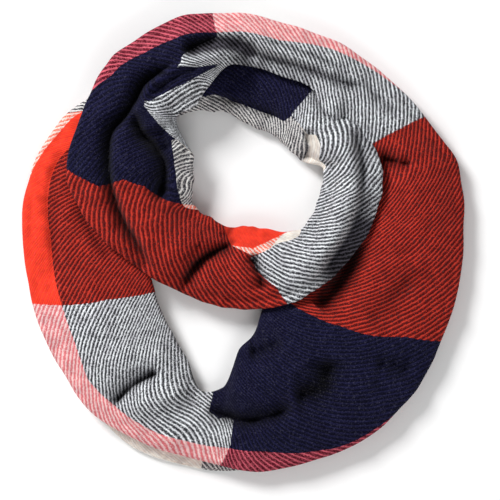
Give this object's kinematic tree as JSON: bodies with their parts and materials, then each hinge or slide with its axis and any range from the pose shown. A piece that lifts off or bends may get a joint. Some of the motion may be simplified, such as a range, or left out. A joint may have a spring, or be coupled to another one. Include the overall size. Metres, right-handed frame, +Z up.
{
  "type": "infinity scarf",
  "caption": "Soft check twill loop scarf, wound twice into a ring and laid flat, with an open middle for the neck.",
  "frame": {"origin": "middle of the footprint, on the surface that the scarf lies on", "axes": "+Z up through the thickness; +Y towards the back, where the second turn lies over the first; +X to the right, seen from above"},
  "size_m": [0.4462, 0.4624, 0.0648],
  "materials": {
    "inner_back_cloth": "brushed twill",
    "inner_back_layers": "brushed twill",
    "outer_left_cloth": "brushed twill",
    "outer_left_layers": "brushed twill",
    "outer_front_cloth": "brushed twill",
    "outer_front_layers": "brushed twill",
    "outer_right_cloth": "brushed twill",
    "outer_right_layers": "brushed twill",
    "outer_back_cloth": "brushed twill",
    "outer_back_layers": "brushed twill",
    "inner_left_cloth": "brushed twill",
    "inner_left_layers": "brushed twill",
    "inner_front_cloth": "brushed twill",
    "inner_front_layers": "brushed twill",
    "inner_right_cloth": "brushed twill",
    "inner_right_layers": "brushed twill"
  },
  "bodies": {
    "root": {"inner_back_cloth": "inner_back_cloth", "inner_back_layers": "inner_back_layers", "outer_left_cloth": "outer_left_cloth", "outer_left_layers": "outer_left_layers", "outer_front_cloth": "outer_front_cloth", "outer_front_layers": "outer_front_layers", "outer_right_cloth": "outer_right_cloth", "outer_right_layers": "outer_right_layers", "outer_back_cloth": "outer_back_cloth", "outer_back_layers": "outer_back_layers", "inner_left_cloth": "inner_left_cloth", "inner_left_layers": "inner_left_layers", "inner_front_cloth": "inner_front_cloth", "inner_front_layers": "inner_front_layers", "inner_right_cloth": "inner_right_cloth", "inner_right_layers": "inner_right_layers"}
  },
  "joints": []
}
